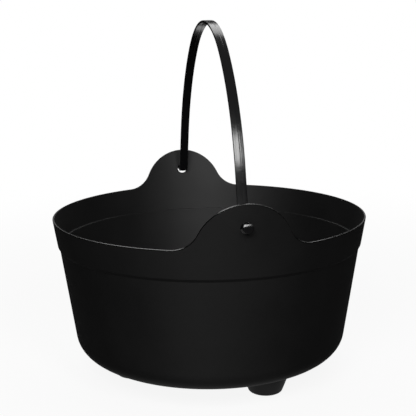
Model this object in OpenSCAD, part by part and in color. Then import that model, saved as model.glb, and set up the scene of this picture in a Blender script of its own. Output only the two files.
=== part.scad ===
// Plastic cauldron: a thin-walled round pot moulded in one with its three feet
// and two ears, and a strap bail whose pegs turn in the ears.
// Millimetres, +Z up. The origin is on the floor under the middle of the pot.
// The bail turns about Y, and the ears stand at -Y and +Y.

/* [Pot] */
// Outer diameter at the rim
rim_d = 300; // [220:1:400]
// Height of the pot from its flat underside to the rim
pot_h = 134.4; // [100:0.1:200]
// Wall thickness of the pot, its feet and its ears
wall = 1.8; // [1.2:0.1:3]
// Height of the collar below the rim
collar_h = 28.2; // [14:0.1:45]
// Lean of the collar and the ears out from the vertical, degrees
collar_draft = 9; // [3:0.5:12]
// Width of the ledge under the collar
ledge_w = 1.4; // [0.6:0.1:3]
// Height of the bevel under the collar, down to the ledge
ledge_bevel = 2.8; // [1:0.1:4]
// Lean of the wall below the ledge, degrees
wall_draft = 8.2; // [3:0.1:12]
// Radius of the corner between the wall and the underside
corner_r = 22; // [12:0.5:35]

/* [Feet] */
// Number of feet
foot_count = 3; // [3:1:5]
// Height of the feet
foot_h = 25.2; // [12:0.1:40]
// Diameter of a foot at its bottom, before the edge is rounded
foot_d = 31; // [20:0.5:44]
// Taper of a foot's side from the vertical, degrees
foot_draft = 20.5; // [8:0.5:24]
// Radius of the edge round the bottom of a foot
foot_edge_r = 3.5; // [2.5:0.1:6]
// Distance of the feet from the middle of the pot
foot_ring_r = 77.8; // [60:0.1:88]

/* [Ears] */
// Height of the ears above the rim
ear_rise = 39.3; // [30:0.1:55]
// Radius of the round top of an ear
ear_r = 42.6; // [30:0.1:60]
// Radius of the sweep from an ear down into the rim
ear_sweep_r = 23.5; // [12:0.5:40]
// Diameter of the hole in each ear
hole_d = 10.2; // [9:0.1:15]
// Height of the holes above the rim
hole_rise = 18.6; // [14:0.1:24]

/* [Bail] */
// Height of the top of the bail above the rim
bail_rise = 182.1; // [150:0.1:240]
// Width of the strap
bail_w = 8.7; // [6:0.1:14]
// Thickness of the strap
bail_t = 2.6; // [2:0.1:4]
// Radius of the strap's long edges
bail_edge_r = 0.9; // [0.4:0.1:1]
// Half angle of the crown of the bail, degrees
crown_angle = 39; // [30:1:48]
// Lean of the legs from the vertical, degrees
leg_lean = 14.6; // [8:0.1:20]
// Length of the straight stretch of each leg
leg_straight = 37.9; // [15:0.1:50]
// Radius of the bend from a leg to its peg
bend_r = 5.5; // [4:0.1:9]
// Gap between the bend's end and the inside of the ear
bend_gap = 4.3; // [2:0.1:8]

/* [Pegs] */
// Diameter of the peg that runs in the ear
peg_d = 7.4; // [5:0.1:8.4]
// Height of the flat along the top of the peg and button, over the peg's axis
peg_flat = 3.2; // [2.6:0.1:4]
// Height of the strap's underside over the bottom of the peg
tongue_rise = 0.3; // [0.1:0.1:2]
// Diameter of the button at the peg's outer end
button_d = 9; // [8:0.1:10]
// Length of the button
button_l = 3.6; // [3:0.1:6]
// Distance that a peg stands out of its ear
peg_reach = 6.8; // [6:0.1:10]
// Radius of the button's outer edge
button_edge_r = 1; // [0.4:0.1:1.4]
// Clearance over a peg where it hangs in the top of its hole
peg_clear = 0.1; // [0.05:0.05:0.5]

/* [Hidden] */
$fn = 96;

pot_color = "#2a2b2d";
bail_color = "#121314";

rim_r = rim_d / 2;
base_z = foot_h;
rim_z = base_z + pot_h;
ledge_z = rim_z - collar_h;
ear_top_z = rim_z + ear_rise;

// Outer radius of the collar's cone at height z, which the ears carry on upwards
function collar_r(z) = rim_r + (z - rim_z) * tan(collar_draft);
// Outer radius of the wall's cone at height z
function wall_r(z) = collar_r(ledge_z) - ledge_w + (z - ledge_z) * tan(wall_draft);
// The same cones, moved in square to the wall
function collar_in_r(z, inset) = collar_r(z) - inset / cos(collar_draft);
function wall_in_r(z, inset) = wall_r(z) - inset / cos(wall_draft);

// Centre of the bottom corner's arc
corner_z = base_z + corner_r;
corner_c = wall_r(corner_z) - corner_r / cos(wall_draft);

// Crown along the rim's edge: its radius, its centre and its fall to the faces
rim_crown_r = 0.56 * wall;
crown_z = rim_z - rim_crown_r;
crown_fall = rim_crown_r - sqrt(pow(rim_crown_r, 2) - pow(wall / 2, 2));

// Ear outline, seen along Y: the centre of the round top, and of the sweeps
// beside it, which run into the top by a hair and out into the rim's crown
ear_c_z = ear_top_z - ear_r;
sweep_lap = 0.03;
sweep_z = rim_z - crown_fall / 2 + ear_sweep_r;
sweep_x = sqrt(pow(ear_r + ear_sweep_r - sweep_lap, 2) - pow(sweep_z - ear_c_z, 2));

// Peg axis: the peg hangs in the top of its hole
hole_z = rim_z + hole_rise;
peg_z = hole_z + (hole_d - peg_d) / 2 - peg_clear;
peg_end_y = collar_r(peg_z) + peg_reach;

// Bail path in the Y-Z plane, along the middle of the strap: a crown arc,
// a side arc, a straight leg and a bend out into the bottom of the peg
turn = 90 - leg_lean;
bend_end_y = collar_in_r(peg_z, wall) - bend_gap;
bend_end_z = peg_z - peg_d / 2 + tongue_rise + bail_t / 2;
bend_c = [bend_end_y, bend_end_z + bend_r];
peg_root_y = bend_end_y - bend_r;
leg_end = bend_c - bend_r * [sin(turn), cos(turn)];
leg_top = leg_end - leg_straight * [cos(turn), -sin(turn)];
apex_z = rim_z + bail_rise - bail_t / 2;
arch_y = leg_top[0];
arch_z = apex_z - leg_top[1];
arch_det = sin(crown_angle) * (cos(crown_angle) - cos(turn))
         - (sin(turn) - sin(crown_angle)) * (1 - cos(crown_angle));
crown_r = (arch_y * (cos(crown_angle) - cos(turn))
         - arch_z * (sin(turn) - sin(crown_angle))) / arch_det;
side_r = (arch_z * sin(crown_angle) - arch_y * (1 - cos(crown_angle))) / arch_det;
crown_c = [0, apex_z - crown_r];
side_c = crown_c + (crown_r - side_r) * [sin(crown_angle), cos(crown_angle)];
// The side arcs and the bends run on into their neighbours by the lap, and are
// a hair thinner all round, so that each joint in the strap is one clean solid
lap = 0.25;
hair = 0.01;

// Half section of the pot's body, from the axis out, moved in by inset, with
// a bevel of the given height from the collar down to the ledge
module body_section(inset, top, bevel) {
    r = corner_r - inset;
    edge_z = ledge_z + inset + bevel;
    polygon([
        [0, base_z + inset],
        [corner_c, base_z + inset],
        [corner_c + r * cos(wall_draft), corner_z - r * sin(wall_draft)],
        [wall_in_r(ledge_z + inset, inset), ledge_z + inset],
        [collar_in_r(edge_z, inset), edge_z],
        [collar_in_r(top, inset), top],
        [0, top]
    ]);
    translate([corner_c, corner_z]) circle(r);
}

// Half section of a foot, from its axis out, moved in by inset
module foot_section(inset, top) {
    r = foot_edge_r - inset;
    z = foot_edge_r;
    side = foot_d / 2 + z * tan(foot_draft) - foot_edge_r / cos(foot_draft);
    polygon([
        [0, inset],
        [side, inset],
        [side + r * cos(foot_draft), z - r * sin(foot_draft)],
        [foot_d / 2 + top * tan(foot_draft) - inset / cos(foot_draft), top],
        [0, top]
    ]);
    intersection() {
        translate([side, z]) circle(r);
        translate([0, inset]) square([foot_d, foot_edge_r]);
    }
}

// Put a copy at each foot
module at_feet() {
    for (i = [0 : foot_count - 1])
        rotate(180 + i * 360 / foot_count) translate([foot_ring_r, 0]) children();
}

// Round bar of diameter d through both ears at height z, along Y
module across(d, x, z) {
    translate([x, rim_r + ear_rise, z]) rotate([90, 0, 0])
        cylinder(d = d, h = 2 * (rim_r + ear_rise), $fn = 180);
}

// Solid that runs through both ears along Y, with their outline
module ear_prism() {
    low_z = min(rim_z, ear_c_z) - wall;
    across(2 * ear_r, 0, ear_c_z);
    difference() {
        translate([0, rim_r + ear_rise, 0]) rotate([90, 0, 0])
            linear_extrude(2 * (rim_r + ear_rise)) polygon([
                [-sweep_x, low_z],
                [sweep_x, low_z],
                [sweep_x, sweep_z],
                [0, ear_c_z],
                [-sweep_x, sweep_z]
            ]);
        for (s = [-1, 1]) across(2 * ear_sweep_r, s * sweep_x, sweep_z);
    }
}

// Ring of everything above the crowned edge of the rim
module over_rim() {
    rotate_extrude($fn = 240) difference() {
        translate([rim_r - 4 * wall, crown_z]) square([ear_rise, ear_rise + 4 * wall]);
        translate([collar_in_r(crown_z, wall / 2), crown_z]) circle(rim_crown_r, $fn = 48);
    }
}

// Wall, floor and collar, with the collar carried up to the top of the ears
module tall_shell() {
    rotate_extrude($fn = 240) difference() {
        body_section(0, ear_top_z + wall, ledge_bevel);
        body_section(wall, ear_top_z + 2 * wall, 0);
    }
}

module pot() {
    color(pot_color) difference() {
        union() {
            difference() {
                tall_shell();
                difference() {
                    over_rim();
                    ear_prism();
                }
            }
            at_feet() rotate_extrude() foot_section(0, foot_h + wall / 2);
        }
        at_feet() rotate_extrude() foot_section(wall, foot_h + 2 * wall);
        across(hole_d, 0, hole_z);
    }
}

// Section of the strap, moved in by trim: thickness along X, width along Y
module strap_section(trim) {
    t = bail_t - 2 * trim;
    w = bail_w - 2 * trim;
    r = bail_edge_r - trim;
    square([t - 2 * r, w], center = true);
    square([t, w - 2 * r], center = true);
    for (x = [-1, 1], y = [-1, 1])
        translate([x * (t / 2 - r), y * (w / 2 - r)]) circle(r, $fn = 24);
}

// Stretch of the strap round a centre in the Y-Z plane, angles from +Y
module strap_arc(centre, r, from, to, run_on = 0, trim = 0, steps = 180) {
    on = run_on / r * 180 / PI;
    translate([0, centre[0], centre[1]]) rotate([90, 0, 90]) rotate(from - on)
        rotate_extrude(angle = to - from + 2 * on, $fn = steps)
            translate([r, 0]) strap_section(trim);
}

// One leg of the bail, on the +Y side
module leg() {
    strap_arc(side_c, side_r, 90 - turn, 90 - crown_angle, lap, hair);
    translate([0, leg_end[0], leg_end[1]]) rotate([leg_lean, 0, 0])
        linear_extrude(leg_straight) rotate(90) strap_section(0);
    strap_arc(bend_c, bend_r, 270 - turn, 270, lap, hair, 60);
}

// Half section of the peg and its button, from the axis out, with +Y along it
module peg_section() {
    button_y = peg_end_y - button_l;
    round_y = peg_end_y - button_edge_r;
    translate([0, peg_root_y]) square([peg_d / 2, round_y - peg_root_y]);
    translate([0, button_y]) square([button_d / 2, button_l - button_edge_r]);
    translate([0, round_y]) square([button_d / 2 - button_edge_r, button_edge_r]);
    intersection() {
        translate([button_d / 2 - button_edge_r, round_y]) circle(button_edge_r, $fn = 32);
        translate([0, button_y]) square([button_d, button_l]);
    }
}

// Peg with its button, on the +Y side. It has a flat along its top, and its
// root fills the hollow side of the bend
module peg() {
    intersection() {
        translate([0, 0, peg_z]) difference() {
            rotate([-90, 0, 0]) rotate_extrude() peg_section();
            translate([-button_d, peg_root_y - bail_t, peg_flat])
                cube([2 * button_d, peg_end_y - peg_root_y + 2 * bail_t, button_d]);
        }
        union() {
            translate([-button_d, bend_end_y, peg_z - button_d])
                cube([2 * button_d, peg_end_y, 2 * button_d]);
            translate([-button_d, bend_c[0], bend_c[1]]) rotate([0, 90, 0])
                cylinder(r = bend_r, h = 2 * button_d);
        }
    }
}

module bail() {
    color(bail_color) {
        strap_arc(crown_c, crown_r, 90 - crown_angle, 90 + crown_angle);
        for (m = [0, 1]) mirror([0, m, 0]) {
            leg();
            peg();
        }
    }
}

pot();
bail();
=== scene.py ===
"""A black plastic cauldron: its pot, its strap bail, the studio round them and the camera.

Lengths are in metres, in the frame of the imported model: +Z is up, the origin is on the floor under
the middle of the pot, and the bail's hinge runs along Y through both ears.
"""

import logging
import math
from dataclasses import dataclass
from enum import Enum

import bpy
from mathutils import Matrix, Vector


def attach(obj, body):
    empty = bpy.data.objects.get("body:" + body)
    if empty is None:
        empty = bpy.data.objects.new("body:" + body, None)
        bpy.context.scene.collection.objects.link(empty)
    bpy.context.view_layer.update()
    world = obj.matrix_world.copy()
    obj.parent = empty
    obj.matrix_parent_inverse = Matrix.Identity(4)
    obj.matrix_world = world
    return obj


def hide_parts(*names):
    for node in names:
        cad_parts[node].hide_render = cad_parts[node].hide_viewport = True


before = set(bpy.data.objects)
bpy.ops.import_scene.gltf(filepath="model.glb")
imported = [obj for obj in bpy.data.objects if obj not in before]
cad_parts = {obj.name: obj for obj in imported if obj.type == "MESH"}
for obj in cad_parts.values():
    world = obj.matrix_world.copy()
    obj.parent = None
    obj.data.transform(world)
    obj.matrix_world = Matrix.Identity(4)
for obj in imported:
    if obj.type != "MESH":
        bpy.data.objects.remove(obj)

log = logging.getLogger("cauldron")

MM = 0.001
POLISH = "polish"
ROUND_STEP_DEG = 8.0
SHADE_GUARD_MM = 0.4
SMOOTH_DEG = 35.0
WELD_M = 0.000005
PHOTO_WIDTH_PX = 416
SENSOR_WIDTH_MM = 36.0


class Slot(Enum):
    """The record's material slots."""

    POT = "pot_plastic"
    BAIL = "bail_plastic"


class Wire:
    """A shader value that Python's own operators add up, scale and turn round."""

    def __init__(self, sheet: "Sheet", socket: bpy.types.NodeSocket) -> None:
        """Keeps the sheet of nodes that the socket belongs to."""
        self.sheet = sheet
        self.socket = socket

    def maths(self, operation: str, first: object, second: object) -> "Wire":
        """Adds a Math node.

        Args:
            operation: the node's operation.
            first: its first value, a number or a wire.
            second: its second value, a number or a wire.

        Returns:
            The wire of its result.
        """
        node = self.sheet.node("ShaderNodeMath", {"operation": operation}, {0: first, 1: second})
        return Wire(self.sheet, node.outputs[0])

    def __add__(self, other: object) -> "Wire":
        """Sum."""
        return self.maths("ADD", self, other)

    def __radd__(self, other: object) -> "Wire":
        """Sum, with the wire second."""
        return self.maths("ADD", other, self)

    def __sub__(self, other: object) -> "Wire":
        """Difference."""
        return self.maths("SUBTRACT", self, other)

    def __rsub__(self, other: object) -> "Wire":
        """Difference, with the wire second."""
        return self.maths("SUBTRACT", other, self)

    def __mul__(self, other: object) -> "Wire":
        """Product."""
        return self.maths("MULTIPLY", self, other)

    def __rmul__(self, other: object) -> "Wire":
        """Product, with the wire second."""
        return self.maths("MULTIPLY", other, self)

    def __truediv__(self, other: object) -> "Wire":
        """Quotient."""
        return self.maths("DIVIDE", self, other)

    def __pow__(self, other: object) -> "Wire":
        """Power."""
        return self.maths("POWER", self, other)

    def most(self, other: object) -> "Wire":
        """The larger of the two values."""
        return self.maths("MAXIMUM", self, other)


class Sheet:
    """The nodes of one material or of the world."""

    def __init__(self, tree: bpy.types.NodeTree) -> None:
        """Empties the tree."""
        self.tree = tree
        tree.nodes.clear()

    def node(self, kind: str, settings: dict | None = None, inputs: dict | None = None) -> bpy.types.Node:
        """Adds a node.

        Args:
            kind: the node's type.
            settings: its properties, which are set before its sockets.
            inputs: its sockets' values or wires, by name or by number.

        Returns:
            The new node.
        """
        made = self.tree.nodes.new(kind)
        for name, value in (settings or {}).items():
            setattr(made, name, value)
        for name, value in (inputs or {}).items():
            if isinstance(value, Wire):
                self.tree.links.new(value.socket, made.inputs[name])
            else:
                made.inputs[name].default_value = value
        return made

    def wire(self, kind: str, output: str, settings: dict | None = None, inputs: dict | None = None) -> Wire:
        """Adds a node and gives the wire of one of its outputs."""
        return Wire(self, self.node(kind, settings, inputs).outputs[output])

    def noise(self, place: Wire, scale: float, detail: float, roughness: float = 0.5) -> Wire:
        """Adds a noise pattern.

        Args:
            place: the coordinates that it reads.
            scale: its spots per metre.
            detail: its number of finer layers.
            roughness: the share of each finer layer.

        Returns:
            The wire of its value, about 0.5 on average.
        """
        values = {"Vector": place, "Scale": scale, "Detail": detail, "Roughness": roughness}
        return self.wire("ShaderNodeTexNoise", "Fac", None, values)

    def part(self, vector: Wire, axis: str) -> Wire:
        """One of a vector's X, Y and Z."""
        return self.wire("ShaderNodeSeparateXYZ", axis, None, {"Vector": vector})

    def ramp(self, value: Wire, low: float, high: float) -> Wire:
        """Rises smoothly from 0 at the low value to 1 at the high one."""
        values = {"Value": value, "From Min": low, "From Max": high}
        return self.wire("ShaderNodeMapRange", "Result", {"interpolation_type": "SMOOTHSTEP"}, values)

    def blend(self, share: Wire, low: tuple, high: tuple) -> Wire:
        """Mixes two colours.

        Args:
            share: 0 gives low and 1 gives high.
            low: one colour, in red, green and blue.
            high: the other.

        Returns:
            The wire of the mixed colour.
        """
        values = {"Factor": share, "A": (*low, 1.0), "B": (*high, 1.0)}
        made = self.node("ShaderNodeMix", {"data_type": "RGBA"})
        sockets = {s.name: s for s in made.inputs if s.enabled}
        for name, value in values.items():
            if isinstance(value, Wire):
                self.tree.links.new(value.socket, sockets[name])
            else:
                sockets[name].default_value = value
        return Wire(self, next(s for s in made.outputs if s.enabled))


@dataclass(frozen=True)
class Plastic:
    """Moulded black plastic: its colour, its gloss and its grain."""

    name: str
    dark: tuple[float, float, float]
    light: tuple[float, float, float]
    cloud_per_m: float
    roughness: float
    roughness_swing: float
    grain_per_m: float
    grain_depth: float
    wave_per_m: tuple[float, float, float]
    wave_depth: float
    specular: float
    polish_roughness: float

    def build(self) -> bpy.types.Material:
        """Makes the material.

        Returns:
            The material, with its nodes on Object coordinates.
        """
        material = bpy.data.materials.new(self.name)
        material.use_nodes = True
        sheet = Sheet(material.node_tree)
        place = sheet.wire("ShaderNodeTexCoord", "Object")
        cloud = sheet.noise(place, self.cloud_per_m, 4.0, 0.6)
        grain = sheet.noise(place, self.grain_per_m, 2.0)
        stretched = sheet.wire("ShaderNodeMapping", "Vector", None, {"Vector": place, "Scale": self.wave_per_m})
        wave = sheet.noise(stretched, 1.0, 1.0)
        polish = sheet.wire("ShaderNodeAttribute", "Fac", {"attribute_name": POLISH})
        satin = self.roughness + (cloud - 0.5) * self.roughness_swing
        rough = satin + polish * (self.polish_roughness - satin)
        grained = sheet.wire(
            "ShaderNodeBump",
            "Normal",
            None,
            {"Strength": 1.0, "Distance": self.grain_depth, "Height": grain},
        )
        waved = sheet.wire(
            "ShaderNodeBump",
            "Normal",
            None,
            {"Strength": 1.0, "Distance": self.wave_depth, "Height": wave, "Normal": grained},
        )
        shader = sheet.wire(
            "ShaderNodeBsdfPrincipled",
            "BSDF",
            None,
            {
                "Base Color": sheet.blend(cloud, self.dark, self.light),
                "Roughness": rough,
                "Normal": waved,
                "Specular IOR Level": self.specular,
            },
        )
        sheet.node("ShaderNodeOutputMaterial", None, {"Surface": shader})
        material.diffuse_color = (*self.light, 1.0)
        return material


POT_PLASTIC = Plastic(
    name="pot_satin_black",
    dark=(0.0026, 0.0026, 0.0027),
    light=(0.0042, 0.0041, 0.0041),
    cloud_per_m=22.0,
    roughness=0.55,
    roughness_swing=0.16,
    grain_per_m=1500.0,
    grain_depth=0.00006,
    wave_per_m=(9.0, 9.0, 30.0),
    wave_depth=0.0004,
    specular=0.5,
    polish_roughness=0.2,
)
BAIL_PLASTIC = Plastic(
    name="bail_gloss_black",
    dark=(0.0038, 0.0038, 0.0040),
    light=(0.0064, 0.0064, 0.0068),
    cloud_per_m=60.0,
    roughness=0.18,
    roughness_swing=0.1,
    grain_per_m=700.0,
    grain_depth=0.00002,
    wave_per_m=(420.0, 14.0, 14.0),
    wave_depth=0.00007,
    specular=0.5,
    polish_roughness=0.18,
)


def deselect() -> None:
    """Leaves object mode with nothing selected."""
    if bpy.context.object and bpy.context.object.mode != "OBJECT":
        bpy.ops.object.mode_set(mode="OBJECT")
    bpy.ops.object.select_all(action="DESELECT")


def only(piece: bpy.types.Object) -> None:
    """Selects one object and makes it active."""
    deselect()
    piece.select_set(True)
    bpy.context.view_layer.objects.active = piece


def rounded(corners: list[tuple[float, float, float]]) -> list[tuple[float, float]]:
    """Rounds the corners of an open line, with a point beside each rounding that keeps its shade off the flats.

    Args:
        corners: the line's corners, each with the radius of its rounding, 0 for none.

    Returns:
        The points of the rounded line.
    """
    points = [Vector(corners[0][:2])]
    for before, corner, after in zip(corners, corners[1:], corners[2:]):
        here = Vector(corner[:2])
        radius = corner[2]
        back = (Vector(before[:2]) - here).normalized()
        on = (Vector(after[:2]) - here).normalized()
        if radius <= 0.0:
            points.append(here)
            continue
        half = back.angle(on) / 2.0
        reach = radius / math.tan(half)
        centre = here + (back + on).normalized() * (radius / math.sin(half))
        start = here + back * reach - centre
        swing = math.pi - 2.0 * half
        steps = max(4, round(math.degrees(swing) / ROUND_STEP_DEG))
        turn = math.copysign(swing, start.cross(here + on * reach - centre))
        guard = min(SHADE_GUARD_MM, radius)
        points.append(here + back * (reach + guard))
        for step in range(steps + 1):
            angle = turn * step / steps
            arm = Vector(
                (
                    start.x * math.cos(angle) - start.y * math.sin(angle),
                    start.x * math.sin(angle) + start.y * math.cos(angle),
                )
            )
            points.append(centre + arm)
        points.append(here + on * (reach + guard))
    points.append(Vector(corners[-1][:2]))
    return [tuple(point) for point in points]


def turned(name: str, section: list[tuple[float, float]], steps: int, place: Matrix) -> bpy.types.Object:
    """Spins a half section round its axis into a closed solid.

    Args:
        name: the new object's name.
        section: points of radius and height in millimetres, which start and end on the axis.
        steps: number of steps in the full turn.
        place: where the solid goes, in millimetres.

    Returns:
        The solid, in metres, with its normals outwards.
    """
    mesh = bpy.data.meshes.new(name)
    points = [(radius, 0.0, height) for radius, height in section]
    mesh.from_pydata(points, [(i, i + 1) for i in range(len(points) - 1)], [])
    piece = bpy.data.objects.new(name, mesh)
    bpy.context.collection.objects.link(piece)
    only(piece)
    bpy.ops.object.mode_set(mode="EDIT")
    bpy.ops.mesh.select_all(action="SELECT")
    bpy.ops.mesh.spin(steps=steps, angle=math.tau, center=(0, 0, 0), axis=(0, 0, 1))
    bpy.ops.mesh.select_all(action="SELECT")
    bpy.ops.mesh.remove_doubles(threshold=0.0005)
    bpy.ops.mesh.normals_make_consistent(inside=False)
    bpy.ops.object.mode_set(mode="OBJECT")
    mesh.transform(Matrix.Scale(MM, 4) @ place)
    return piece


def block(name: str, low: tuple, high: tuple, place: Matrix) -> bpy.types.Object:
    """Makes a box.

    Args:
        name: the new object's name.
        low: its lowest corner, in millimetres.
        high: its highest corner.
        place: where the box goes, in millimetres.

    Returns:
        The box, in metres.
    """
    deselect()
    bpy.ops.mesh.primitive_cube_add(size=1.0)
    piece = bpy.context.object
    piece.name = name
    middle = (Vector(high) + Vector(low)) / 2.0
    fitted = Matrix.Translation(middle) @ Matrix.Diagonal((*(Vector(high) - Vector(low)), 1.0))
    piece.data.transform(Matrix.Scale(MM, 4) @ place @ fitted)
    return piece


def joined(pieces: list[bpy.types.Object]) -> bpy.types.Object:
    """Joins objects that don't touch into the first of them."""
    deselect()
    for piece in pieces:
        piece.select_set(True)
    bpy.context.view_layer.objects.active = pieces[0]
    bpy.ops.object.join()
    return pieces[0]


def combine(piece: bpy.types.Object, tool: bpy.types.Object, operation: str) -> None:
    """Adds a solid to a piece or cuts it out, and deletes the solid.

    Args:
        piece: the piece that changes.
        tool: the solid.
        operation: UNION, DIFFERENCE or INTERSECT.
    """
    only(piece)
    modifier = piece.modifiers.new("combine", "BOOLEAN")
    modifier.operation = operation
    modifier.solver = "EXACT"
    modifier.object = tool
    bpy.ops.object.modifier_apply(modifier=modifier.name)
    bpy.data.objects.remove(tool)


def finish_piece(piece: bpy.types.Object, plastic: Plastic, node: str) -> None:
    """Cleans and smooths a piece, dresses it, and puts it in its CAD node's place.

    Args:
        piece: the finished mesh.
        plastic: its material.
        node: the CAD node that it replaces, whose body has the same name.
    """
    only(piece)
    bpy.ops.object.mode_set(mode="EDIT")
    bpy.ops.mesh.select_all(action="SELECT")
    bpy.ops.mesh.remove_doubles(threshold=WELD_M)
    bpy.ops.mesh.dissolve_degenerate(threshold=WELD_M)
    bpy.ops.mesh.select_all(action="SELECT")
    bpy.ops.mesh.normals_make_consistent(inside=False)
    bpy.ops.object.mode_set(mode="OBJECT")
    bpy.ops.object.shade_smooth_by_angle(angle=math.radians(SMOOTH_DEG))
    piece.data.materials.clear()
    piece.data.materials.append(plastic.build())
    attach(piece, node)
    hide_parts(node)
    log.info("%s has %d faces", piece.name, len(piece.data.polygons))


@dataclass
class Pot:
    """The pot: floor, wall, ledge, collar with its ears, and hollow feet. Its sizes are in millimetres."""

    slot: Slot
    plastic: Plastic
    rim_radius: float = 150.0
    rim_z: float = 159.6
    base_z: float = 25.2
    wall: float = 1.8
    collar_lean: float = 9.0
    ledge_z: float = 131.4
    ledge_width: float = 1.4
    ledge_bevel: float = 2.8
    ledge_round: float = 0.6
    step_round: float = 0.45
    rim_round: float = 0.5
    rim_fall: float = 0.36
    wall_lean: float = 8.2
    corner_radius: float = 22.0
    ear_top_z: float = 198.9
    ear_radius: float = 42.6
    sweep_radius: float = 23.5
    lift_from_z: float = 142.0
    lift_rigid: float = 1.6
    hole_radius: float = 5.1
    hole_z: float = 178.2
    hole_chamfer: float = 0.35
    foot_count: int = 3
    foot_radius: float = 15.5
    foot_lean: float = 20.5
    foot_edge: float = 3.5
    foot_ring: float = 77.8
    steps: int = 600
    foot_steps: int = 96

    def collar_r(self, z: float) -> float:
        """Outer radius of the collar's cone, which the ears carry on upwards."""
        return self.rim_radius + (z - self.rim_z) * math.tan(math.radians(self.collar_lean))

    def wall_r(self, z: float) -> float:
        """Outer radius of the wall's cone below the ledge."""
        foot_of_collar = self.collar_r(self.ledge_z) - self.ledge_width
        return foot_of_collar + (z - self.ledge_z) * math.tan(math.radians(self.wall_lean))

    def section(self) -> list[tuple[float, float]]:
        """Half section of the pot without ears or feet.

        Returns:
            Its points, from the axis out along the underside, over the rim and back to the axis.
        """
        collar_in = self.wall / math.cos(math.radians(self.collar_lean))
        wall_in = self.wall / math.cos(math.radians(self.wall_lean))
        bevel_z = self.ledge_z + self.ledge_bevel
        step_z = self.ledge_z + self.wall
        floor_z = self.base_z + self.wall
        edge_z = self.rim_z - self.rim_fall
        return rounded(
            [
                (0.0, self.base_z, 0.0),
                (self.wall_r(self.base_z), self.base_z, self.corner_radius),
                (self.wall_r(self.ledge_z), self.ledge_z, self.ledge_round),
                (self.collar_r(bevel_z), bevel_z, self.ledge_round),
                (self.collar_r(edge_z), edge_z, self.rim_round),
                (self.collar_r(self.rim_z) - collar_in, self.rim_z, self.rim_round),
                (self.collar_r(step_z) - collar_in, step_z, self.step_round),
                (self.wall_r(step_z) - wall_in, step_z, self.step_round),
                (self.wall_r(floor_z) - wall_in, floor_z, self.corner_radius - self.wall),
                (0.0, floor_z, 0.0),
            ]
        )

    def outline_z(self, x: float) -> float:
        """Height of the ears' outline, seen along the hinge.

        Args:
            x: distance from the middle of the ear.

        Returns:
            The height: a round top, a sweep down beside it, and the rim beyond.
        """
        top_z = self.ear_top_z - self.ear_radius
        sweep_z = self.rim_z + self.sweep_radius
        apart = self.ear_radius + self.sweep_radius
        sweep_x = math.sqrt(apart**2 - (sweep_z - top_z) ** 2)
        x = abs(x)
        if x < sweep_x * self.ear_radius / apart:
            return top_z + math.sqrt(self.ear_radius**2 - x**2)
        if x < sweep_x:
            return sweep_z - math.sqrt(self.sweep_radius**2 - (sweep_x - x) ** 2)
        return self.rim_z

    def top_z(self, across: float, inset: float) -> float:
        """Height of the rim or the ear in one direction from the middle of the pot.

        Args:
            across: share of the direction that points across the ears.
            inset: distance in from the collar's outer face.

        Returns:
            The height of the edge there.
        """
        top = self.rim_z
        for _ in range(40):
            top = self.outline_z(across * (self.collar_r(top) - inset))
        return top

    def lifted(self, point: Vector) -> Vector:
        """Moves a point of the collar up along its cone to make the ears.

        Args:
            point: the point on the plain collar.

        Returns:
            Its place, with the rim at the height of the ears' outline.
        """
        radius = math.hypot(point.x, point.y)
        inset = self.collar_r(point.z) - radius
        rise = self.top_z(abs(point.x) / radius, inset) - self.rim_z
        share = (point.z - self.lift_from_z) / (self.rim_z - self.lift_rigid - self.lift_from_z)
        z = point.z + rise * min(1.0, share)
        reach = (self.collar_r(z) - inset) / radius
        return Vector((point.x * reach, point.y * reach, z))

    def foot_section(self, inset: float, top: float) -> list[tuple[float, float]]:
        """Half section of a foot.

        Args:
            inset: how far its faces are moved in.
            top: height of its flat top.

        Returns:
            Its points, from the axis out along the bottom, up the side and back to the axis.
        """
        slope = math.tan(math.radians(self.foot_lean))
        thick = inset / math.cos(math.radians(self.foot_lean))

        def side(z: float) -> float:
            """Radius of the foot's side."""
            return self.foot_radius + z * slope - thick

        return rounded(
            [
                (0.0, inset, 0.0),
                (side(inset), inset, self.foot_edge - inset),
                (side(top), top, 0.0),
                (0.0, top, 0.0),
            ]
        )

    def feet(self, name: str, inset: float, top: float) -> bpy.types.Object:
        """Makes the feet's solids, or the hollows in them, as one object."""
        copies = []
        for number in range(self.foot_count):
            turn = math.radians(180.0 + number * 360.0 / self.foot_count)
            place = Vector((math.cos(turn), math.sin(turn), 0.0)) * self.foot_ring
            copies.append(turned(f"{name}_{number}", self.foot_section(inset, top), self.foot_steps, Matrix.Translation(place)))
        return joined(copies)

    def borers(self) -> bpy.types.Object:
        """Makes the cutters of the ears' holes: a bar through both, and a chamfer at each face."""
        reach = self.rim_radius * 1.4
        along = Matrix.Rotation(math.radians(90.0), 4, "X")
        bar = [(0.0, -reach), (self.hole_radius, -reach), (self.hole_radius, reach), (0.0, reach)]
        middle = Matrix.Translation((0.0, 0.0, self.hole_z))
        cutter = turned("hole_bar", bar, self.foot_steps, middle @ along)
        depth = 2.0 * self.hole_chamfer
        wide = self.hole_radius + self.hole_chamfer
        half = self.wall / 2.0
        tip = [(0.0, half - 2.0), (wide - self.hole_chamfer - 2.0 + depth, half - 2.0)]
        for side in (-1, 1):
            lean = Matrix.Rotation(math.radians(-side * (90.0 + self.collar_lean)), 4, "X")
            middle_y = side * (self.collar_r(self.hole_z) - half / math.cos(math.radians(self.collar_lean)))
            place = Matrix.Translation((0.0, middle_y, self.hole_z)) @ lean
            for face in (-1, 1):
                cone = [(0.0, face * (half - depth)), (wide - depth, face * (half - depth)), (wide + depth, face * (half + depth)), (0.0, face * (half + depth))]
                chamfer = turned(f"hole_chamfer_{side}_{face}", cone[::face], self.foot_steps, place)
                combine(cutter, chamfer, "UNION")
        return cutter

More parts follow.
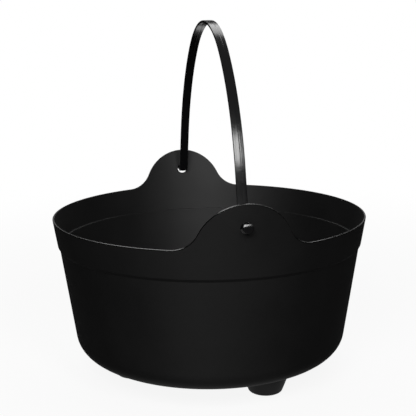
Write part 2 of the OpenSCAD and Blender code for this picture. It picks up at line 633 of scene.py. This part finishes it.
    def polish_rim(self, pot: bpy.types.Object) -> None:
        """Marks the rounded edge of the rim and the ears, which a mould leaves glossier than its faces."""
        polish = pot.data.attributes.new(POLISH, "FLOAT", "POINT")
        for vertex, mark in zip(pot.data.vertices, polish.data):
            point = vertex.co / MM
            if point.z < self.rim_z - self.wall:
                continue
            radius = math.hypot(point.x, point.y)
            inset = self.collar_r(point.z) - radius
            top = self.top_z(abs(point.x) / radius, inset)
            mark.value = 1.0 if point.z > top - self.rim_fall - 1.1 * self.rim_round else 0.0

    def build(self) -> bpy.types.Object:
        """Models the pot.

        Returns:
            The pot, in its plastic and riding on its body.
        """
        pot = turned("pot_moulding", self.section(), self.steps, Matrix.Identity(4))
        for vertex in pot.data.vertices:
            point = vertex.co / MM
            if point.z > self.lift_from_z:
                vertex.co = self.lifted(point) * MM
        combine(pot, self.feet("foot", 0.0, self.base_z + self.wall / 2.0), "UNION")
        combine(pot, self.feet("foot_hollow", self.wall, self.base_z + 2.0 * self.wall), "DIFFERENCE")
        combine(pot, self.borers(), "DIFFERENCE")
        self.polish_rim(pot)
        finish_piece(pot, self.plastic, "pot")
        return pot


@dataclass
class Bail:
    """The bail: strap, bends, pegs and buttons in one. Its sizes are in millimetres."""

    slot: Slot
    plastic: Plastic
    width: float = 8.7
    thick: float = 2.6
    edge_round: float = 0.5
    roof_slope: float = 0.026
    parting_x: float = 0.8
    parting_half: float = 0.35
    parting_depth: float = 0.12
    top_z: float = 341.66
    crown_deg: float = 39.0
    lean_deg: float = 14.6
    leg: float = 37.9
    bend_radius: float = 5.5
    bend_y: float = 147.026
    bend_lap: float = 0.3
    peg_z: float = 179.5
    peg_radius: float = 3.7
    peg_flat: float = 3.2
    tongue_rise: float = 0.3
    end_y: float = 159.952
    button_radius: float = 4.5
    button_length: float = 3.6
    button_round: float = 0.6
    facet_height: float = 2.0
    facet_lean_deg: float = 24.5
    facet_roof_deg: float = 2.5
    bend_steps: int = 24
    side_steps: int = 72
    crown_steps: int = 144
    peg_steps: int = 72

    def profile(self) -> list[tuple[float, float]]:
        """Section of the strap, whose faces are each a low roof with the mould's parting groove along its ridge.

        Returns:
            The points of the closed line, each out from the strap's middle plane and along X.
        """
        half = self.thick / 2.0
        near = self.parting_x - self.parting_half
        far = self.parting_x + self.parting_half

        def face(x: float) -> float:
            """Height of the roof over the strap's middle plane."""
            return half - self.roof_slope * abs(x - self.parting_x)

        right = self.width / 2.0
        left = -right
        line = rounded(
            [
                (half - self.parting_depth, self.parting_x, 0.0),
                (face(far), far, 0.0),
                (face(far + SHADE_GUARD_MM), far + SHADE_GUARD_MM, 0.0),
                (face(right), right, self.edge_round),
                (-face(right), right, self.edge_round),
                (-face(far + SHADE_GUARD_MM), far + SHADE_GUARD_MM, 0.0),
                (-face(far), far, 0.0),
                (self.parting_depth - half, self.parting_x, 0.0),
                (-face(near), near, 0.0),
                (-face(near - SHADE_GUARD_MM), near - SHADE_GUARD_MM, 0.0),
                (-face(left), left, self.edge_round),
                (face(left), left, self.edge_round),
                (face(near - SHADE_GUARD_MM), near - SHADE_GUARD_MM, 0.0),
                (face(near), near, 0.0),
                (half - self.parting_depth, self.parting_x, 0.0),
            ]
        )
        return line[:-1]

    def strap(self) -> bpy.types.Object:
        """Sweeps the section from one peg over the crown to the other.

        Returns:
            The strap, closed at both ends.
        """
        turn = math.radians(90.0 - self.lean_deg)
        crown = math.radians(self.crown_deg)
        bend_z = self.peg_z - self.peg_radius + self.tongue_rise + self.thick / 2.0
        bend = Vector((0.0, self.bend_y, bend_z + self.bend_radius))
        climb = self.leg * Vector((0.0, -math.cos(turn), math.sin(turn)))
        leg_top = bend - self.bend_radius * Vector((0.0, math.sin(turn), math.cos(turn))) + climb
        apex_z = self.top_z - self.thick / 2.0
        drop = apex_z - leg_top.z
        fall = 1.0 - math.cos(crown)
        cosines = math.cos(crown) - math.cos(turn)
        sines = math.sin(turn) - math.sin(crown)
        share = math.sin(crown) * cosines - sines * fall
        crown_radius = (leg_top.y * cosines - drop * sines) / share
        side_radius = (drop * math.sin(crown) - leg_top.y * fall) / share
        middle = Vector((0.0, 0.0, apex_z - crown_radius))
        side = middle + (crown_radius - side_radius) * Vector((0.0, math.sin(crown), math.cos(crown)))
        other = Vector((1.0, -1.0, 1.0))
        mesh = bpy.data.meshes.new("bail_moulding")
        points = [(x, self.bend_y + self.bend_lap, bend_z + out) for out, x in self.profile()]
        count = len(points)
        mesh.from_pydata(points, [(i, (i + 1) % count) for i in range(count)], [])
        strap = bpy.data.objects.new("bail_moulding", mesh)
        bpy.context.collection.objects.link(strap)
        only(strap)
        bpy.ops.object.mode_set(mode="EDIT")
        bpy.ops.mesh.select_all(action="SELECT")
        self.run_straight(Vector((0.0, -self.bend_lap, 0.0)))
        self.run_round(bend, -turn, self.bend_steps)
        self.run_straight(climb)
        self.run_round(side, turn - crown, self.side_steps)
        self.run_round(middle, 2.0 * crown, self.crown_steps)
        self.run_round(side * other, turn - crown, self.side_steps)
        self.run_straight(climb * -other)
        self.run_round(bend * other, -turn, self.bend_steps)
        self.run_straight(Vector((0.0, -self.bend_lap, 0.0)))
        bpy.ops.mesh.select_all(action="SELECT")
        bpy.ops.mesh.remove_doubles(threshold=0.0005)
        bpy.ops.mesh.select_all(action="SELECT")
        bpy.ops.mesh.fill_holes(sides=0)
        bpy.ops.mesh.select_all(action="SELECT")
        bpy.ops.mesh.normals_make_consistent(inside=False)
        bpy.ops.object.mode_set(mode="OBJECT")
        mesh.transform(Matrix.Scale(MM, 4))
        return strap

    def run_straight(self, way: Vector) -> None:
        """Carries the selected end of the strap straight on."""
        bpy.ops.mesh.extrude_region_move(TRANSFORM_OT_translate={"value": way})

    def run_round(self, centre: Vector, angle: float, steps: int) -> None:
        """Carries the selected end of the strap round an axis along X."""
        bpy.ops.mesh.spin(steps=steps, angle=-angle, center=centre, axis=(1, 0, 0))

    def peg(self, side: int) -> bpy.types.Object:
        """Makes a peg with its button, its flat top, its facet and the root that fills the bend.

        Args:
            side: 1 for the ear at +Y and -1 for the ear at -Y.

        Returns:
            The peg.
        """
        root_y = self.bend_y - self.bend_radius
        section = rounded(
            [
                (0.0, root_y, 0.0),
                (self.peg_radius, root_y, 0.0),
                (self.peg_radius, self.end_y - self.button_length, 0.0),
                (self.button_radius, self.end_y - self.button_length, 0.0),
                (self.button_radius, self.end_y, self.button_round),
                (0.0, self.end_y, 0.0),
            ]
        )
        axis = Matrix.Translation((0.0, 0.0, self.peg_z)) @ Matrix.Rotation(math.radians(-90.0 * side), 4, "X")
        peg = turned(f"peg_{side}", section, self.peg_steps, axis)
        wide = 2.0 * self.button_radius
        high = self.peg_z + wide
        span = sorted((side * self.bend_y, side * (self.end_y + wide)))
        keep = block("peg_span", (-wide, span[0], self.peg_z - wide), (wide, span[1], high), Matrix.Identity(4))
        bend_z = self.peg_z - self.peg_radius + self.tongue_rise + self.thick / 2.0 + self.bend_radius
        centre = Matrix.Translation((0.0, side * self.bend_y, bend_z)) @ Matrix.Rotation(math.radians(90.0), 4, "Y")
        drum = [(0.0, -wide), (self.bend_radius, -wide), (self.bend_radius, wide), (0.0, wide)]
        combine(keep, turned("peg_root", drum, self.peg_steps, centre), "UNION")
        combine(peg, keep, "INTERSECT")
        flat_z = self.peg_z + self.peg_flat
        span = sorted((side * (root_y - wide), side * (self.end_y + wide)))
        top = block("peg_top", (-wide, span[0], flat_z), (wide, span[1], high), Matrix.Identity(4))
        combine(peg, top, "DIFFERENCE")
        foot = Matrix.Translation((self.parting_x, side * self.end_y, flat_z - self.facet_height))
        lean = Matrix.Rotation(math.radians(-side * (90.0 - self.facet_lean_deg)), 4, "X")
        for half in (-1, 1):
            roof = Matrix.Rotation(math.radians(half * self.facet_roof_deg), 4, "Y")
            facet = block("peg_facet", (-wide, -wide, 0.0), (wide, wide, wide), foot @ lean @ roof)
            combine(peg, facet, "DIFFERENCE")
        return peg

    def build(self) -> bpy.types.Object:
        """Models the bail.

        Returns:
            The bail, in its plastic and riding on its body.
        """
        bail = self.strap()
        for side in (-1, 1):
            combine(bail, self.peg(side), "UNION")
        finish_piece(bail, self.plastic, "bail")
        return bail


@dataclass(frozen=True)
class Softbox:
    """A rectangular lamp that faces the pot."""

    name: str
    azimuth: float
    elevation: float
    distance: float
    width: float
    height: float
    power: float
    aim: tuple[float, float, float] = (0.0, 0.0, 0.12)

    def hang(self) -> bpy.types.Object:
        """Makes the lamp.

        Returns:
            The lamp, turned towards the point that it is aimed at.
        """
        turn = math.radians(self.azimuth)
        rise = math.radians(self.elevation)
        back = Vector(
            (
                math.sin(turn) * math.cos(rise),
                -math.cos(turn) * math.cos(rise),
                math.sin(rise),
            )
        )
        bpy.ops.object.light_add(type="AREA", location=Vector(self.aim) + back * self.distance)
        lamp = bpy.context.object
        lamp.name = self.name
        lamp.rotation_euler = (-back).to_track_quat("-Z", "Y").to_euler()
        lamp.data.shape = "RECTANGLE"
        lamp.data.size = self.width
        lamp.data.size_y = self.height
        lamp.data.energy = self.power
        log.info("%s hangs %.2f m away", self.name, self.distance)
        return lamp


@dataclass
class Studio:
    """Pale floor, plain surroundings and softboxes."""

    floor_half: float = 8.0
    floor_colour: tuple[float, float, float] = (0.95, 0.95, 0.95)
    bounce_colour: tuple[float, float, float] = (0.005, 0.005, 0.005)
    shine: float = 0.108
    shine_roughness: float = 0.45
    near_glow: float = 0.9
    shadow_reach: float = 0.35
    shadow_fade: float = 0.7
    # painted pools of light on the floor, seen only by mirrored rays: a rectangle in front of the pot and a ring under
    # it
    painted_pool_from: tuple[float, float] = (0.0, 0.36)
    painted_pool_full: tuple[float, float] = (0.06, 0.44)
    painted_pool_size: tuple[float, float] = (0.2, 0.2)
    painted_under_glow: float = 0.3
    painted_under_full: float = 0.1
    painted_under_reach: float = 0.145
    overhead_glow: float = 0.13
    ambient: float = 0.003
    softboxes: tuple[Softbox, ...] = (
        Softbox("left_softbox", -22.0, 33.0, 1.4, 0.6, 0.45, 11.4),
        Softbox("right_softbox", 8.5, 34.5, 1.4, 0.24, 0.39, 4.6),
        Softbox("back_softbox", 167.0, 49.0, 1.5, 1.7, 0.64, 9.5),
        Softbox("back_low_softbox", 167.0, 16.0, 1.5, 1.5, 0.3, 0.6),
    )

    def rays(self, sheet: Sheet) -> tuple[Wire, Wire]:
        """Adds the tests of what kind of ray sees the ground.

        Args:
            sheet: the nodes that they join.

        Returns:
            The wires that are 1 for the camera's own ray, and for a mirrored or refracted one.
        """
        path = sheet.node("ShaderNodeLightPath")
        camera = Wire(sheet, path.outputs["Is Camera Ray"])
        glossy = Wire(sheet, path.outputs["Is Glossy Ray"])
        through = Wire(sheet, path.outputs["Is Transmission Ray"])
        return camera, glossy.most(through)

    def lay_floor(self) -> bpy.types.Object:
        """Makes the floor, which is white and keeps the object's shadow. Mirrored rays see it nearly black, but with
        two painted pools of light that glow for them alone: one in front of the pot, which the wall reflects, and one
        under the pot, which its bottom edge reflects.

        Returns:
            The floor.
        """
        bpy.ops.object.select_all(action="DESELECT")
        bpy.ops.mesh.primitive_plane_add(size=2 * self.floor_half, location=(0, 0, 0))
        floor = bpy.context.object
        floor.name = "studio_floor"
        material = bpy.data.materials.new("studio_floor_white")
        material.use_nodes = True
        sheet = Sheet(material.node_tree)
        camera, mirrored = self.rays(sheet)
        place = sheet.wire("ShaderNodeTexCoord", "Object")
        away = sheet.wire("ShaderNodeVectorMath", "Value", {"operation": "LENGTH"}, {0: place})
        fade = sheet.wire(
            "ShaderNodeMapRange",
            "Result",
            {"interpolation_type": "SMOOTHSTEP"},
            {
                "Value": away,
                "From Min": self.shadow_reach,
                "From Max": self.shadow_reach + self.shadow_fade,
                "To Min": self.near_glow,
                "To Max": 1.0,
            },
        )
        colour = sheet.blend(camera, self.bounce_colour, self.floor_colour)
        plain = sheet.wire("ShaderNodeBsdfDiffuse", "BSDF", None, {"Color": colour})
        polish = sheet.wire(
            "ShaderNodeBsdfAnisotropic",
            "BSDF",
            None,
            {"Color": (1, 1, 1, 1), "Roughness": self.shine_roughness},
        )
        shines = mirrored * self.shine
        lit = sheet.wire("ShaderNodeMixShader", "Shader", None, {0: shines, 1: plain, 2: polish})
        glow = sheet.wire("ShaderNodeEmission", "Emission", None, {"Color": (1, 1, 1, 1), "Strength": 1.0})
        # a painted pool of light in front of the pot, which only mirrored rays see
        painted_pool = 1.0
        for axis, start, full, size in zip("XY", self.painted_pool_from, self.painted_pool_full, self.painted_pool_size):
            along = sheet.part(place, axis)
            painted_pool = sheet.ramp(along, start, full) * sheet.ramp(along, full + size + full - start, full + size) * painted_pool
        # a painted ring of light under the pot, which only mirrored rays see, for the bottom edge to reflect
        under = sheet.ramp(away, self.painted_under_reach, self.painted_under_full) * self.painted_under_glow
        share = camera * fade + mirrored * painted_pool.most(under)
        mixed = sheet.wire("ShaderNodeMixShader", "Shader", None, {0: share, 1: lit, 2: glow})
        sheet.node("ShaderNodeOutputMaterial", None, {"Surface": mixed})
        floor.data.materials.append(material)
        return floor

    def surround(self) -> bpy.types.World:
        """Makes the world: white to the camera, and dim to everything that it lights."""
        world = bpy.data.worlds.new("studio_world")
        world.use_nodes = True
        bpy.context.scene.world = world
        sheet = Sheet(world.node_tree)
        camera, mirrored = self.rays(sheet)
        way = sheet.wire("ShaderNodeTexCoord", "Generated")
        seen = sheet.ramp(sheet.part(way, "Z"), 0.55, 0.8) * self.overhead_glow
        strength = self.ambient + camera * (1.0 - self.ambient) + mirrored * seen
        ground = sheet.wire("ShaderNodeBackground", "Background", None, {"Color": (1, 1, 1, 1), "Strength": strength})
        sheet.node("ShaderNodeOutputWorld", None, {"Surface": ground})
        return world

    def build(self) -> None:
        """Lays the floor, makes the world and hangs the softboxes."""
        self.lay_floor()
        self.surround()
        for softbox in self.softboxes:
            softbox.hang()
        settings = bpy.context.scene.view_settings
        settings.view_transform = "Standard"
        log.info("studio has %d softboxes", len(self.softboxes))


@dataclass
class PhotoCamera:
    """The camera that took the photograph, solved from the rim, the wall, the feet and the ears."""

    position: tuple[float, float, float] = (-0.1658, -0.8274, 0.3423)
    heading: float = 11.265
    pitch: float = 11.972
    roll: float = 0.5615
    focal_px: float = 889.86
    near: float = 0.01
    far: float = 50.0

    def build(self) -> bpy.types.Object:
        """Makes the camera and gives it to the scene.

        Returns:
            The camera.
        """
        bpy.ops.object.camera_add()
        camera = bpy.context.object
        camera.name = "photo_camera"
        turned = (
            Matrix.Rotation(math.radians(-self.heading), 4, "Z")
            @ Matrix.Rotation(math.radians(90.0 - self.pitch), 4, "X")
            @ Matrix.Rotation(math.radians(-self.roll), 4, "Z")
        )
        camera.matrix_world = Matrix.Translation(self.position) @ turned
        camera.data.sensor_width = SENSOR_WIDTH_MM
        camera.data.lens = self.focal_px * SENSOR_WIDTH_MM / PHOTO_WIDTH_PX
        camera.data.clip_start = self.near
        camera.data.clip_end = self.far
        bpy.context.scene.camera = camera
        log.info("camera has a %.1f mm lens", camera.data.lens)
        return camera


def corners(box: tuple[Vector, Vector]) -> list[list[float]]:
    """A box's two corners as plain lists of numbers."""
    return [list(corner) for corner in box]


def main() -> None:
    """Builds the cauldron and its studio."""
    logging.basicConfig(level=logging.INFO, format="%(name)s: %(message)s")
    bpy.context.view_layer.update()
    PhotoCamera().build()
    Studio().build()
    Pot(Slot.POT, POT_PLASTIC).build()
    Bail(Slot.BAIL, BAIL_PLASTIC).build()


if __name__ == "__main__":
    main()
